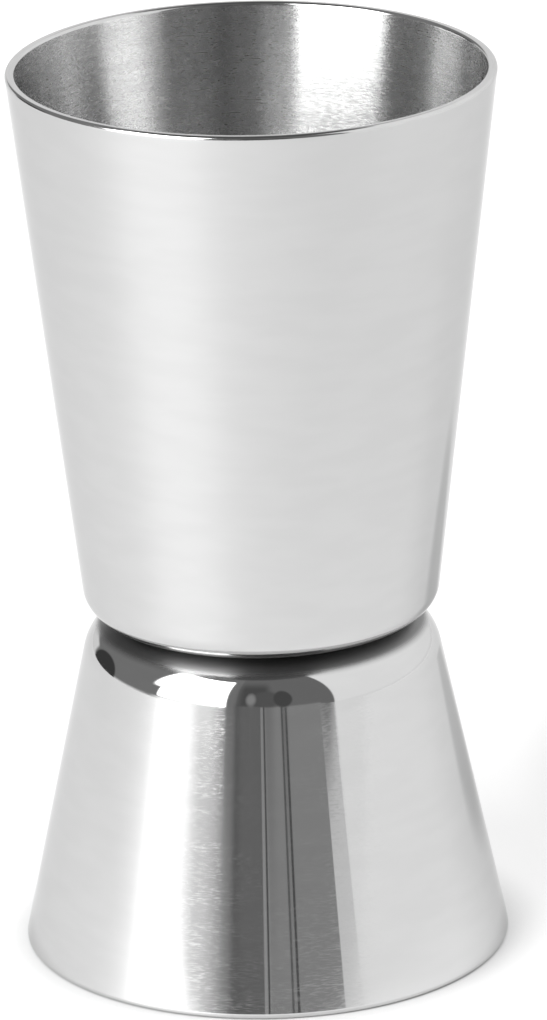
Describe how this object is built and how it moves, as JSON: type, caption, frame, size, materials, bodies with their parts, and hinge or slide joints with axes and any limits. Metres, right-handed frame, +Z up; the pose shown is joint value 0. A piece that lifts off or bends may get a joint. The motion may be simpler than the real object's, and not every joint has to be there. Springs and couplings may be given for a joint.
{
  "type": "bar jigger",
  "caption": "Double-ended stainless bar measure: a tall flared cup and a short flared cup joined base to base, open at both ends, standing on the short cup's mouth.",
  "frame": {"origin": "centre of the small cup's mouth, in the plane that the jigger stands on", "axes": "+Z up along the common axis of both cups, towards the large cup's mouth; +X to the viewer's right, +Y away from the viewer"},
  "size_m": [0.044, 0.044, 0.082],
  "materials": {
    "polished_stainless": "mirror-polished outside",
    "satin_stainless": "satin, brushed round the axis, inside both cups",
    "weld_metal": "dull, fused steel, hidden between the bases"
  },
  "bodies": {
    "root": {"large_cup": "polished_stainless", "small_cup": "polished_stainless", "weld_nugget_1": "weld_metal", "weld_nugget_2": "weld_metal", "weld_nugget_3": "weld_metal"}
  },
  "joints": []
}
